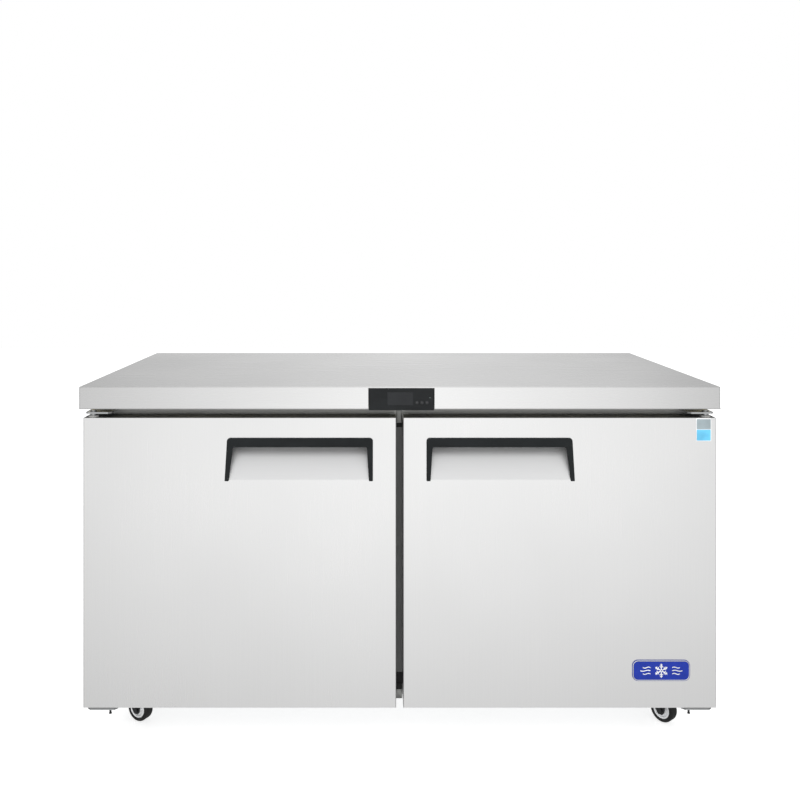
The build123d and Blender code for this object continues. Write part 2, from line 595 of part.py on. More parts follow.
with BuildPart() as pedal:
    rod((PEDAL_U, -13.8, PEDAL_Z), (0, 1, 0), 5, 27.6)
    block(PEDAL_U, 38.5, -13.8, 13.8, 69.5, 73)
    block(38.5, 55, -15.5, 15.5, 69.5, 73)
    block(33, 38.5, -9, 9, 64.5, 70)
    for u in (42, 46, 50):
        block(u, u + 1.5, -13, 13, 73, 73.8)
    rod((PEDAL_U, -20, PEDAL_Z), (0, 1, 0), 2.56, 40, mode=Mode.SUBTRACT)

for tag, (x, y, turn, brake) in CASTERS.items():
    spot = Location((x, y, 0), (0, 0, turn))
    save_group("caster_fork_" + tag, [p.moved(spot) for p in fork(brake)])
    save_group("caster_wheel_" + tag, [tyre.part.moved(spot), hub.part.moved(spot)])
    if brake:
        save(pedal.part.moved(spot), "brake_pedal_" + tag)

# ------------------------------------------------------------------ doors
# drawn for the right-hand door; the left-hand door is its mirror image
SIN0, COS0 = math.sin(math.radians(POCKET_A0)), math.cos(math.radians(POCKET_A0))
SIN1, COS1 = math.sin(math.radians(POCKET_A1)), math.cos(math.radians(POCKET_A1))
SCOOP_R = (POCKET_KNEE - POCKET_Z0) / (SIN1 - SIN0)
SCOOP_Y, SCOOP_Z = DOOR_Y0 + SCOOP_R * COS0, POCKET_Z0 - SCOOP_R * SIN0
POCKET_Y1 = SCOOP_Y - SCOOP_R * COS1          # back of the recess


def scoop(angle, r=SCOOP_R):
    a = math.radians(angle)
    return (SCOOP_Y - r * math.cos(a), SCOOP_Z + r * math.sin(a))


def scoop_arc(a0, a1, r=SCOOP_R):
    return ThreePointArc(scoop(a0, r), scoop((a0 + a1) / 2, r), scoop(a1, r))


with BuildPart() as door_skin:
    with BuildSketch(Plane.XY.offset(DOOR_Z0)):
        with BuildLine():
            FilletPolyline((DOOR_OUT, DOOR_Y1), (DOOR_OUT, DOOR_Y0), (DOOR_IN, DOOR_Y0),
                           (DOOR_IN, DOOR_Y1), radius=2.2)
            Line((DOOR_IN, DOOR_Y1), (DOOR_OUT, DOOR_Y1))
        make_face()
        Polygon((DOOR_IN + 1, DOOR_Y0 + 1), (DOOR_OUT - 1, DOOR_Y0 + 1),
                (DOOR_OUT - 1, DOOR_Y1 - 1), (DOOR_IN + 1, DOOR_Y1 - 1),
                align=None, mode=Mode.SUBTRACT)
        Polygon((DOOR_IN + 14, DOOR_Y1 - 2), (DOOR_OUT - 14, DOOR_Y1 - 2),
                (DOOR_OUT - 14, DOOR_Y1 + 2), (DOOR_IN + 14, DOOR_Y1 + 2),
                align=None, mode=Mode.SUBTRACT)
    extrude(amount=DOOR_Z1 - DOOR_Z0)
    with BuildSketch(Plane.YZ.offset(POCKET_X0 - 1)):
        with BuildLine():
            scoop_arc(POCKET_A0, POCKET_A1, SCOOP_R - 1)
            Polyline(scoop(POCKET_A1, SCOOP_R - 1), (POCKET_Y1 + 1, POCKET_KNEE),
                     (POCKET_Y1 + 1, POCKET_Z1 + 1), (DOOR_Y0 + 0.5, POCKET_Z1 + 1),
                     (DOOR_Y0 + 0.5, scoop(POCKET_A0, SCOOP_R - 1)[1]),
                     scoop(POCKET_A0, SCOOP_R - 1))
        make_face()
    extrude(amount=POCKET_X1 - POCKET_X0 + 2)
    with BuildSketch(Plane.YZ.offset(POCKET_X0)):
        with BuildLine():
            scoop_arc(POCKET_A0, POCKET_A1)
            Polyline(scoop(POCKET_A1), (POCKET_Y1, POCKET_Z1), (DOOR_Y0 - 1, POCKET_Z1),
                     (DOOR_Y0 - 1, POCKET_Z0 - COS0 / SIN0), scoop(POCKET_A0))
        make_face()
    extrude(amount=POCKET_X1 - POCKET_X0, mode=Mode.SUBTRACT)

FOAM_Y0, FOAM_Y1 = DOOR_Y0 + 1, DOOR_Y1 - 1
FOAM_Z0, FOAM_Z1 = DOOR_Z0 + 4, DOOR_Z1 - 4
PX0, PX1 = POCKET_X0 - 1, POCKET_X1 + 1
SLOPE_Z0 = scoop(POCKET_A0, SCOOP_R - 1)[1]
with BuildPart() as foam_slope:
    with BuildSketch(Plane.YZ.offset(PX0)):
        with BuildLine():
            scoop_arc(POCKET_A0, POCKET_A1, SCOOP_R - 1)
            Polyline(scoop(POCKET_A1, SCOOP_R - 1), (POCKET_Y1 + 1, POCKET_KNEE),
                     (POCKET_Y1 + 1, POCKET_Z1 + 1), (FOAM_Y1, POCKET_Z1 + 1), (FOAM_Y1, SLOPE_Z0),
                     scoop(POCKET_A0, SCOOP_R - 1))
        make_face()
    extrude(amount=PX1 - PX0)
door_foam = [
    solid_block(DOOR_IN + 1, PX0, FOAM_Y0, FOAM_Y1, FOAM_Z0, FOAM_Z1),
    solid_block(PX1, 711, FOAM_Y0, FOAM_Y1, FOAM_Z0, FOAM_Z1),
    solid_block(711, DOOR_OUT - 1, FOAM_Y0, FOAM_Y1, 121, 768),
    solid_block(PX0, PX1, FOAM_Y0, FOAM_Y1, POCKET_Z1 + 1, FOAM_Z1),
    solid_block(PX0, PX1, FOAM_Y0, FOAM_Y1, FOAM_Z0, SLOPE_Z0),
    foam_slope.part,
]

with BuildPart() as door_liner:
    block(DOOR_IN + 1.5, DOOR_OUT - 1.5, DOOR_Y1, DOOR_Y1 + 1.5, DOOR_Z0 + 1.5, DOOR_Z1 - 1.5)
    block(46, 707, DOOR_Y1, DOOR_Y1 + 8.5, 139, 751)
    fillet(door_liner.faces().sort_by(Axis.Y)[-1].edges(), 3)
    block(47.2, 705.8, DOOR_Y1 - 1, DOOR_Y1 + 7.3, 140.2, 749.8, mode=Mode.SUBTRACT)

with BuildPart() as door_cap_low:
    block(DOOR_IN + 1, DOOR_OUT - 1, FOAM_Y0, FOAM_Y1, DOOR_Z0 + 1, FOAM_Z0)
    block(711, DOOR_OUT - 1, FOAM_Y0, -329, FOAM_Z0, 121)
    rod((PIVOT_X, PIVOT_Y, 90), (0, 0, 1), 9.05, 40, mode=Mode.SUBTRACT)
with BuildPart() as door_cap_high:
    block(DOOR_IN + 1, DOOR_OUT - 1, FOAM_Y0, FOAM_Y1, FOAM_Z1, DOOR_Z1 - 1)
    block(711, DOOR_OUT - 1, FOAM_Y0, -329, 768, FOAM_Z1)
    rod((PIVOT_X, PIVOT_Y, 760), (0, 0, 1), 9.05, 40, mode=Mode.SUBTRACT)

GX0, GX1, GZ0, GZ1 = 15.0, 738.5, 108.0, 781.5
GASKET_LAYERS = ((DOOR_Y1 + 1.5, -311.0, 0.0, 22.0), (-311.0, -308.2, 4.0, 18.0),
                 (-308.2, -304.3, 0.0, 21.0))
with BuildPart() as door_gasket:
    for y0, y1, inset, width in GASKET_LAYERS:
        with BuildSketch(Plane.XZ.offset(-y1)):
            with Locations(((GX0 + GX1) / 2, (GZ0 + GZ1) / 2)):
                RectangleRounded(GX1 - GX0 - 2 * inset, GZ1 - GZ0 - 2 * inset, 6)
                RectangleRounded(GX1 - GX0 - 2 * width, GZ1 - GZ0 - 2 * width, 3,
                                 mode=Mode.SUBTRACT)
        extrude(amount=y1 - y0)

with BuildPart() as door_handle:
    with BuildSketch(Plane.XZ.offset(-DOOR_Y0)) as face:
        Polygon((64, 640), (64, 743), (412, 743), (418, 640), (408.5, 640), (397.5, 721),
                (78.5, 721), (73.5, 640), align=None)
        fillet(face.vertices().group_by(Axis.Y)[-1], 8)
        fillet(face.vertices().filter_by(lambda v: abs(v.Y - 721) < 0.1), 3)
        fillet(face.vertices().filter_by(lambda v: abs(v.Y - 640) < 0.1), 1.5)
    extrude(amount=3.5)
    fillet(door_handle.faces().sort_by(Axis.Y)[0].edges(), 1.0)
    block(POCKET_X0 + 0.4, POCKET_X1 - 0.4, DOOR_Y0, DOOR_Y0 + 12, 722, POCKET_Z1 - 0.4)
    for x in (POCKET_X0 + 0.4, POCKET_X1 - 2.2):
        with BuildSketch(Plane.YZ.offset(x)):
            with BuildLine():
                scoop_arc(POCKET_A0 + 1, POCKET_A1 - 0.5, SCOOP_R + 0.4)
                Polyline(scoop(POCKET_A1 - 0.5, SCOOP_R + 0.4), (POCKET_Y1 - 1, POCKET_Z1 - 0.4),
                         (DOOR_Y0, POCKET_Z1 - 0.4),
                         (DOOR_Y0, scoop(POCKET_A0 + 1, SCOOP_R + 0.4)[1]),
                         scoop(POCKET_A0 + 1, SCOOP_R + 0.4))
            make_face()
        extrude(amount=1.8)

with BuildPart() as bushing_low:
    rod((PIVOT_X, PIVOT_Y, DOOR_Z0 + 1), (0, 0, 1), 9, 121 - DOOR_Z0 - 1)
    rod((PIVOT_X, PIVOT_Y, 96.3), (0, 0, 1), 12, DOOR_Z0 + 1 - 96.3)
    rod((PIVOT_X, PIVOT_Y, 90), (0, 0, 1), PIN_R + 0.06, 40, mode=Mode.SUBTRACT)
with BuildPart() as bushing_high:
    rod((PIVOT_X, PIVOT_Y, 768), (0, 0, 1), 9, DOOR_Z1 - 1 - 768)
    rod((PIVOT_X, PIVOT_Y, DOOR_Z1 - 1), (0, 0, 1), 12, 793.6 - DOOR_Z1 + 1)
    rod((PIVOT_X, PIVOT_Y, 760), (0, 0, 1), PIN_R + 0.06, 40, mode=Mode.SUBTRACT)

DOOR = {
    "skin": [door_skin.part],
    "foam": door_foam,
    "liner": [door_liner.part],
    "caps": [door_cap_low.part, door_cap_high.part],
    "gasket": [door_gasket.part],
    "handle": [door_handle.part],
    "bushings": [bushing_low.part, bushing_high.part],
}
for key, pieces in DOOR.items():
    save_group("right_door_" + key, pieces)
    save_group("left_door_" + key, [mirrored(p) for p in pieces])

# plain round-cornered badge plate low on the right-hand door
with BuildPart() as name_plate:
    with BuildSketch(Plane.XZ.offset(-DOOR_Y0)):
        with Locations((624, 188)):
            RectangleRounded(138, 50, 14)
    extrude(amount=2)
    fillet(name_plate.faces().sort_by(Axis.Y)[0].edges(), 0.8)
save(name_plate.part, "name_plate")
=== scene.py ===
import math
import random

import bmesh
import bpy
from mathutils import Matrix, Vector


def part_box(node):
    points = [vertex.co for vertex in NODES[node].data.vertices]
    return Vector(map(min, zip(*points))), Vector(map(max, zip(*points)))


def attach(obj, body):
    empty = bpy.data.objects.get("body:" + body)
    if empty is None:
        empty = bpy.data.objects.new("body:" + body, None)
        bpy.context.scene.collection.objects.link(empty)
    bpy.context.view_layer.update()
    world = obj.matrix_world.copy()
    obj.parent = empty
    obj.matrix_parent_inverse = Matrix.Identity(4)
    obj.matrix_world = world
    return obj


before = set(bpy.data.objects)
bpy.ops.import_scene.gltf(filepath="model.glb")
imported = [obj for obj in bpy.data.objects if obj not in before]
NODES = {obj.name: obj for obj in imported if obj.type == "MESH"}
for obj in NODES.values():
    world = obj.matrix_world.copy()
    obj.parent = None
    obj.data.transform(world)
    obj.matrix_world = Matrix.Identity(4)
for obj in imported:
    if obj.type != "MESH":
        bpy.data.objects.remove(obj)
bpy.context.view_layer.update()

random.seed(7)
scene = bpy.context.scene
MM = 0.001


# ---------------------------------------------------------------- camera
cam_data = bpy.data.cameras.new("camera")
cam_data.lens = 40.39
cam_data.sensor_width = 36.0
cam_data.shift_x = 0.03125
cam_data.shift_y = -0.17775
cam_data.clip_start = 0.05
cam_data.clip_end = 60
camera = bpy.data.objects.new("camera", cam_data)
camera.location = (-0.059, -0.381 - 2.1385, 1.173)
camera.rotation_euler = (math.radians(90), 0, 0)
scene.collection.objects.link(camera)
scene.camera = camera
scene.view_settings.view_transform = "Standard"


# ---------------------------------------------------------------- node helpers
class Mat:
    """A node material with a few short helpers."""

    def __init__(self, name):
        self.mat = bpy.data.materials.new(name)
        self.mat.use_nodes = True
        self.t = self.mat.node_tree
        self.n = self.t.nodes
        self.bsdf = self.n.get("Principled BSDF") or self.n.new("ShaderNodeBsdfPrincipled")
        self.coord = self.n.new("ShaderNodeTexCoord")

    def link(self, a, b):
        self.t.links.new(a, b)

    def set(self, **values):
        for key, value in values.items():
            self.bsdf.inputs[key.replace("_", " ")].default_value = value
        return self

    def mapping(self, scale, rot=(0, 0, 0)):
        m = self.n.new("ShaderNodeMapping")
        m.inputs["Scale"].default_value = scale
        m.inputs["Rotation"].default_value = rot
        self.link(self.coord.outputs["Object"], m.inputs["Vector"])
        return m.outputs["Vector"]

    def noise(self, scale, stretch=(1, 1, 1), detail=3.0, rough=0.55, distort=0.0):
        x = self.n.new("ShaderNodeTexNoise")
        x.inputs["Scale"].default_value = scale
        x.inputs["Detail"].default_value = detail
        x.inputs["Roughness"].default_value = rough
        x.inputs["Distortion"].default_value = distort
        self.link(self.mapping(stretch), x.inputs["Vector"])
        return x.outputs["Fac"]

    def voronoi(self, scale, stretch=(1, 1, 1), feature="F1", out="Distance"):
        x = self.n.new("ShaderNodeTexVoronoi")
        x.feature = feature
        x.inputs["Scale"].default_value = scale
        self.link(self.mapping(stretch), x.inputs["Vector"])
        return x.outputs[out]

    def rng(self, value, lo, hi, a=0.0, b=1.0):
        r = self.n.new("ShaderNodeMapRange")
        r.inputs["From Min"].default_value = a
        r.inputs["From Max"].default_value = b
        r.inputs["To Min"].default_value = lo
        r.inputs["To Max"].default_value = hi
        self.link(value, r.inputs["Value"])
        return r.outputs["Result"]

    def math(self, op, a, b):
        m = self.n.new("ShaderNodeMath")
        m.operation = op
        for i, v in enumerate((a, b)):
            if isinstance(v, (int, float)):
                m.inputs[i].default_value = v
            else:
                self.link(v, m.inputs[i])
        return m.outputs[0]

    def ramp(self, value, stops):
        r = self.n.new("ShaderNodeValToRGB")
        e = r.color_ramp.elements
        while len(e) > 1:
            e.remove(e[-1])
        e[0].position = stops[0][0]
        e[0].color = (*stops[0][1], 1)
        for pos, col in stops[1:]:
            x = e.new(pos)
            x.color = (*col, 1)
        self.link(value, r.inputs["Fac"])
        return r.outputs["Color"]

    def mix(self, fac, a, b):
        m = self.n.new("ShaderNodeMix")
        m.data_type = "RGBA"
        if isinstance(fac, (int, float)):
            m.inputs["Factor"].default_value = fac
        else:
            self.link(fac, m.inputs["Factor"])
        for key, v in (("A", a), ("B", b)):
            sock = [s for s in m.inputs if s.name == key and s.type == "RGBA"][0]
            if isinstance(v, tuple):
                sock.default_value = (*v, 1)
            else:
                self.link(v, sock)
        return [s for s in m.outputs if s.type == "RGBA"][0]

    def color(self, out):
        self.link(out, self.bsdf.inputs["Base Color"])
        return self

    def rough(self, out):
        self.link(out, self.bsdf.inputs["Roughness"])
        return self

    def bump(self, height, strength=0.2, distance=0.0003, chain=None):
        b = self.n.new("ShaderNodeBump")
        b.inputs["Strength"].default_value = strength
        b.inputs["Distance"].default_value = distance
        self.link(height, b.inputs["Height"])
        if chain is not None:
            self.link(chain, b.inputs["Normal"])
        self.link(b.outputs["Normal"], self.bsdf.inputs["Normal"])
        return b.outputs["Normal"]


def brushed(name, base, rough, grain, metallic=1.0, bump=0.035, lines=900.0, spread=0.05,
            streaks=1.0, tone=None):
    """Brushed sheet: fine long scratches along `grain`, a few deeper ones, faint cloudiness.

    `tone` is an optional list of (x in metres, factor): painted shade, a slow darkening along the sheet for how the
    light falls across it.
    """
    m = Mat(name)
    m.set(Metallic=metallic)
    long_ = {"x": (0.006, 1, 1), "y": (1, 0.006, 1), "z": (1, 1, 0.006)}[grain]
    deep_ = {"x": (0.012, 1, 1), "y": (1, 0.012, 1), "z": (1, 1, 0.012)}[grain]
    fine = m.noise(lines, long_, detail=4, rough=0.7)
    deep = m.noise(lines * 0.22, deep_, detail=2, rough=0.6)
    cloud = m.noise(2.2, detail=3, rough=0.5)
    dark = tuple(c * (1 - 0.07 * streaks) for c in base)
    lite = tuple(min(1.0, c * (1 + 0.035 * streaks)) for c in base)
    streak = m.mix(m.rng(fine, 0, 1, 0.3, 0.7), dark, lite)
    col = m.mix(m.rng(cloud, 0.0, 0.35, 0.35, 0.75), streak, base)
    # painted shade: the colour is multiplied by the `tone` ramp along x
    if tone:
        xyz = m.n.new("ShaderNodeSeparateXYZ")
        m.link(m.coord.outputs["Object"], xyz.inputs[0])
        lo, hi = tone[0][0], tone[-1][0]
        f = m.ramp(m.rng(xyz.outputs["X"], 0, 1, lo, hi),
                   [((x - lo) / (hi - lo), (v, v, v)) for x, v in tone])
        mul = m.n.new("ShaderNodeMix")
        mul.data_type = "RGBA"
        mul.blend_type = "MULTIPLY"
        mul.inputs["Factor"].default_value = 1.0
        a, b = [k for k in mul.inputs if k.type == "RGBA"]
        m.link(col, a)
        m.link(f, b)
        col = [k for k in mul.outputs if k.type == "RGBA"][0]
    m.color(col)
    r = m.rng(fine, rough - spread, rough + spread, 0.3, 0.7)
    r = m.math("ADD", r, m.rng(cloud, -0.02, 0.03, 0.3, 0.7))
    m.rough(r)
    n = m.bump(fine, bump, 0.0004)
    m.bump(deep, bump * 0.6, 0.0006, chain=n)
    return m.mat


def moulded(name, base, rough=0.45, grain=1800.0, bump=0.12, spec=0.4, dust=0.0):
    """Moulded plastic: fine spark-eroded grain, faint flow marks and a little dust in random patches."""
    m = Mat(name)
    m.set(Specular_IOR_Level=spec)
    fine = m.noise(grain, detail=2, rough=0.6)
    flow = m.noise(14, (1, 1, 2.2), detail=3)
    dark = tuple(c * 0.82 for c in base)
    lite = tuple(c * 1.18 + 0.002 for c in base)
    col = m.mix(m.rng(flow, 0, 1, 0.3, 0.7), dark, lite)
    if dust:
        col = m.mix(m.rng(m.noise(60, detail=5, rough=0.7), 0, dust, 0.5, 0.8), col, (0.35, 0.34, 0.32))
    m.color(col)
    m.rough(m.math("ADD", m.rng(fine, rough - 0.05, rough + 0.06, 0.3, 0.7), m.rng(flow, -0.03, 0.03, 0.3, 0.7)))
    m.bump(fine, bump, 0.0002)
    return m.mat


def coated(name, base, metallic=0.0, rough=0.35, speck=700.0, vary=0.05, bump=0.06, spec=0.5):
    """Plated or painted pressing: slight orange peel and tone variation."""
    m = Mat(name)
    m.set(Metallic=metallic, Specular_IOR_Level=spec)
    peel = m.noise(speck, detail=2)
    tone = m.noise(26, detail=4)
    dark = tuple(c * (1 - vary * 1.6) for c in base)
    lite = tuple(min(1.0, c * (1 + vary)) for c in base)
    m.color(m.mix(m.rng(tone, 0, 1, 0.3, 0.7), dark, lite))
    m.rough(m.rng(tone, rough - 0.06, rough + 0.08, 0.3, 0.7))
    m.bump(peel, bump, 0.0002)
    return m.mat


def galvanised(name):
    m = Mat(name)
    m.set(Metallic=0.9)
    cell = m.voronoi(120, feature="F1", out="Color")
    bw = m.n.new("ShaderNodeRGBToBW")
    m.link(cell, bw.inputs[0])
    m.color(m.ramp(bw.outputs[0], [(0.0, (0.50, 0.52, 0.53)), (0.5, (0.58, 0.60, 0.61)), (1.0, (0.66, 0.68, 0.69))]))
    m.rough(m.rng(bw.outputs[0], 0.34, 0.52))
    m.bump(m.noise(500, detail=2), 0.05, 0.0002)
    return m.mat


# ---------------------------------------------------------------- materials
# painted shade: the worktop steel darkens towards both ends, following how the light falls across the top
TOP_PAINTED_SHADE = [(-0.77, 0.76), (-0.60, 0.82), (-0.38, 0.90), (-0.10, 0.97), (0.08, 1.0),
            (0.38, 0.93), (0.60, 0.84), (0.77, 0.75)]
STEEL_TOP = brushed("steel_worktop", (0.80, 0.80, 0.798), 0.27, "x", streaks=0.8, tone=TOP_PAINTED_SHADE)
STEEL_DOOR = brushed("steel_doors", (0.81, 0.81, 0.808), 0.30, "z", streaks=0.45, bump=0.022,
                     spread=0.03)
STEEL_SIDE = brushed("steel_sides", (0.78, 0.78, 0.775), 0.30, "z")
# painted shade: the front frame is a darker steel that stands in for the shade in the gap under the worktop
STEEL_FRAME_PAINTED_SHADE = brushed("steel_frame", (0.50, 0.504, 0.492), 0.36, "x")
# painted shade: very dark steel on the centre post's cover plate and foot, standing in for the shade they sit in
STEEL_CLIP_PAINTED_SHADE = brushed("steel_clip", (0.245, 0.248, 0.241), 0.36, "z")
# partly painted light: a satin, part-diffuse copy of the door steel that lifts the shade in the hand recesses
STEEL_POCKET_PAINTED_LIGHT = brushed("steel_recess", (0.765, 0.767, 0.77), 0.42, "x", metallic=0.64, streaks=0.4,
                       bump=0.015, spread=0.03)
STEEL_STRIP = brushed("steel_strips", (0.74, 0.74, 0.74), 0.30, "z")
GALV = galvanised("galvanised")
BLACK = moulded("black_trim", (0.012, 0.0125, 0.013), 0.5, spec=0.35)
HANDLE = moulded("handle_black", (0.0085, 0.0108, 0.0118), 0.5, grain=1500, spec=0.22)
BEZEL = moulded("controller_black", (0.0115, 0.0130, 0.0140), 0.45, grain=2400, bump=0.07, spec=0.21)
# painted light: the black door caps are lightened to charcoal to lift the deep shade under the worktop
CAP_PAINTED_LIGHT = moulded("cap_black_painted_light", (0.088, 0.090, 0.088), 0.5, spec=0.35)
KEY = moulded("key_black", (0.030, 0.031, 0.033), 0.55, grain=2400, bump=0.08)
POST = coated("post_paint", (0.205, 0.209, 0.207), 0.2, 0.42, vary=0.06)
FOAM = moulded("foam", (0.78, 0.70, 0.46), 0.9, grain=420, bump=0.6, spec=0.15)
RUBBER = moulded("gasket_rubber", (0.020, 0.020, 0.021), 0.62, grain=1300, bump=0.1, spec=0.25, dust=0.04)
TYRE = moulded("tyre_rubber", (0.014, 0.014, 0.0145), 0.6, grain=900, bump=0.25, spec=0.3, dust=0.10)
HUB = moulded("hub_plastic", (0.93, 0.94, 0.95), 0.38, grain=1400, bump=0.06, dust=0.04)
HINGE = brushed("hinge_zinc", (0.46, 0.47, 0.475), 0.33, "x", lines=700)
SCREW = coated("bright_zinc", (0.72, 0.73, 0.74), 1.0, 0.24, vary=0.04, bump=0.03)
ZINC = coated("caster_zinc", (0.60, 0.61, 0.62), 1.0, 0.34, vary=0.06)
FORK = coated("caster_fork", (0.016, 0.0165, 0.017), 0.1, 0.36, vary=0.08)
AXLE = coated("caster_axle", (0.085, 0.087, 0.09), 1.0, 0.34, vary=0.06)
PEDAL = moulded("brake_pedal", (0.020, 0.020, 0.021), 0.5)
LINER = brushed("liner_aluminium", (0.80, 0.81, 0.82), 0.36, "x", lines=500, bump=0.03)
COVER = brushed("cover_aluminium", (0.74, 0.75, 0.76), 0.38, "x", lines=500)
FINS = coated("fin_stock", (0.66, 0.67, 0.69), 0.95, 0.4, vary=0.1)
TRAY = moulded("tray_plastic", (0.62, 0.63, 0.63), 0.45)
FAN = moulded("fan_black", (0.020, 0.020, 0.022), 0.42, dust=0.12)
ENAMEL = coated("compressor_enamel", (0.012, 0.012, 0.012), 0.0, 0.18, vary=0.2, spec=0.6)
COPPER = coated("copper", (0.80, 0.42, 0.26), 1.0, 0.28, vary=0.12, speck=300)
WIRE = coated("coated_wire", (0.78, 0.78, 0.765), 0.0, 0.3, vary=0.03, speck=500)
NYLON = moulded("nylon", (0.72, 0.72, 0.70), 0.4)
BLUE = coated("badge_blue", (0.005, 0.028, 0.33), 0.0, 0.18, vary=0.10, bump=0.02, spec=0.3)
RIM = coated("badge_rim", (0.80, 0.81, 0.82), 1.0, 0.16, vary=0.03, bump=0.02)
WHITE = moulded("badge_white", (0.82, 0.83, 0.84), 0.35)
STICK_GREY = moulded("sticker_grey", (0.30, 0.36, 0.385), 0.4, bump=0.04)
STICK_CYAN = moulded("sticker_cyan", (0.14, 0.55, 0.83), 0.4, bump=0.04)


def smoked(name):
    m = Mat(name)
    m.set(Specular_IOR_Level=0.26, Coat_Weight=0.08, Coat_Roughness=0.08)
    t = m.noise(30, detail=3)
    m.color(m.mix(m.rng(t, 0, 1, 0.3, 0.7), (0.009, 0.010, 0.012), (0.014, 0.016, 0.018)))
    m.rough(m.rng(t, 0.10, 0.16, 0.3, 0.7))
    m.bump(m.noise(900, detail=1), 0.01, 0.0001)
    return m.mat


LENS = smoked("smoked_lens")

FINISH = {
    "side_panels": STEEL_SIDE, "back_panel": GALV, "front_frame": STEEL_FRAME_PAINTED_SHADE,
    "breaker_strips": BLACK, "mullion_post": POST, "cabinet_foam": FOAM, "inner_liner": LINER,
    "worktop": STEEL_TOP, "worktop_core": FOAM, "controller_housing": BEZEL,
    "controller_window": LENS, "button_set": KEY, "button_up": KEY, "button_down": KEY,
    "hinge_brackets": HINGE, "fasteners": SCREW, "shelf_pilasters": STEEL_STRIP,
    "shelf_clips": SCREW, "evaporator_cover": COVER, "evaporator_coil": FINS, "drip_tray": TRAY,
    "fan_motors": BLACK, "evaporator_fan": FAN, "base_tray": GALV, "compressor": ENAMEL,
    "condenser_coil": FINS, "fan_shroud": GALV, "condenser_fan": FAN, "refrigerant_lines": COPPER,
    "condensate_pan": TRAY, "rear_grille": GALV, "cord_gland": BLACK, "caster_plates": ZINC,
    "shelf_left": WIRE, "shelf_right": WIRE, "name_plate": BLUE,
}
for tag in ("fl", "fr", "rl", "rr"):
    FINISH["caster_fork_" + tag] = FORK
    FINISH["caster_wheel_" + tag] = TYRE
for tag in ("fl", "fr"):
    FINISH["brake_pedal_" + tag] = PEDAL
for side in ("left", "right"):
    FINISH.update({
        side + "_door_skin": STEEL_DOOR, side + "_door_foam": FOAM, side + "_door_liner": LINER,
        side + "_door_caps": CAP_PAINTED_LIGHT, side + "_door_gasket": RUBBER, side + "_door_handle": HANDLE,
        side + "_door_bushings": NYLON,
    })
for name, obj in NODES.items():
    obj.data.materials.clear()
    obj.data.materials.append(FINISH[name])

# satin, part-diffuse steel inside the hand recesses; partly painted light: a copy of the door steel that lifts the
# shade under the handle bars
for side in ("left", "right"):
    lo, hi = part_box(side + "_door_handle")
    mesh = NODES[side + "_door_skin"].data
    mesh.materials.append(STEEL_POCKET_PAINTED_LIGHT)
    for poly in mesh.polygons:
        c = poly.center
        if lo.x < c.x < hi.x and lo.z - 0.002 < c.z < hi.z + 0.002 and c.y > -0.3755:
            poly.material_index = 1

# the door stop screws under the low hinge plates are blackened
for name in ("fasteners", "hinge_brackets"):
    mesh = NODES[name].data
    mesh.materials.append(FORK)
    for poly in mesh.polygons:
        c = poly.center
        if 0.6905 < abs(c.x) < 0.7005 and -0.3652 < c.y < -0.3548 and c.z < 0.0962:
            poly.material_index = len(mesh.materials) - 1

# light hubs inside the black tyres
CASTERS = {"fl": (-0.6745, -0.227, -28.0), "fr": (0.6585, -0.227, -49.0),
           "rl": (-0.6745, 0.300, 112.0), "rr": (0.6585, 0.300, 62.0)}
for tag, (cx, cy, turn) in CASTERS.items():
    mesh = NODES["caster_wheel_" + tag].data
    mesh.materials.append(HUB)
    a = math.radians(turn)
    u, v = Vector((math.cos(a), math.sin(a), 0)), Vector((-math.sin(a), math.cos(a), 0))
    centre = Vector((cx, cy, 0.0315)) + u * 0.022
    for poly in mesh.polygons:
        d = poly.center - centre
        radial = (d - v * d.dot(v)).length
        poly.material_index = 1 if radial < 0.0221 else 0
    mesh = NODES["caster_fork_" + tag].data
    mesh.materials.append(AXLE)
    for poly in mesh.polygons:
        d = poly.center - centre
        radial = (d - v * d.dot(v)).length
        if radial < 0.0078 and abs(d.dot(v)) > 0.0168:
            poly.material_index = 1


# ---------------------------------------------------------------- edge-softening helper for CAD mouldings (defined here, not called)
def soften(name, width, segments=2, angle=35):
    mod = NODES[name].modifiers.new("edge", "BEVEL")
    mod.width = width
    mod.segments = segments
    mod.limit_method = "ANGLE"
    mod.angle_limit = math.radians(angle)
    mod.harden_normals = False


# ---------------------------------------------------------------- mesh helpers
def piece(name, bm, body, mats, smooth=True, angle=35):
    mesh = bpy.data.meshes.new(name)
    bmesh.ops.recalc_face_normals(bm, faces=bm.faces)
    bm.to_mesh(mesh)
    bm.free()
    obj = bpy.data.objects.new(name, mesh)
    scene.collection.objects.link(obj)
    for m in mats:
        mesh.materials.append(m)
    if smooth:
        for p in mesh.polygons:
            p.use_smooth = True
        mesh.set_sharp_from_angle(angle=math.radians(angle))
    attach(obj, body)
    return obj


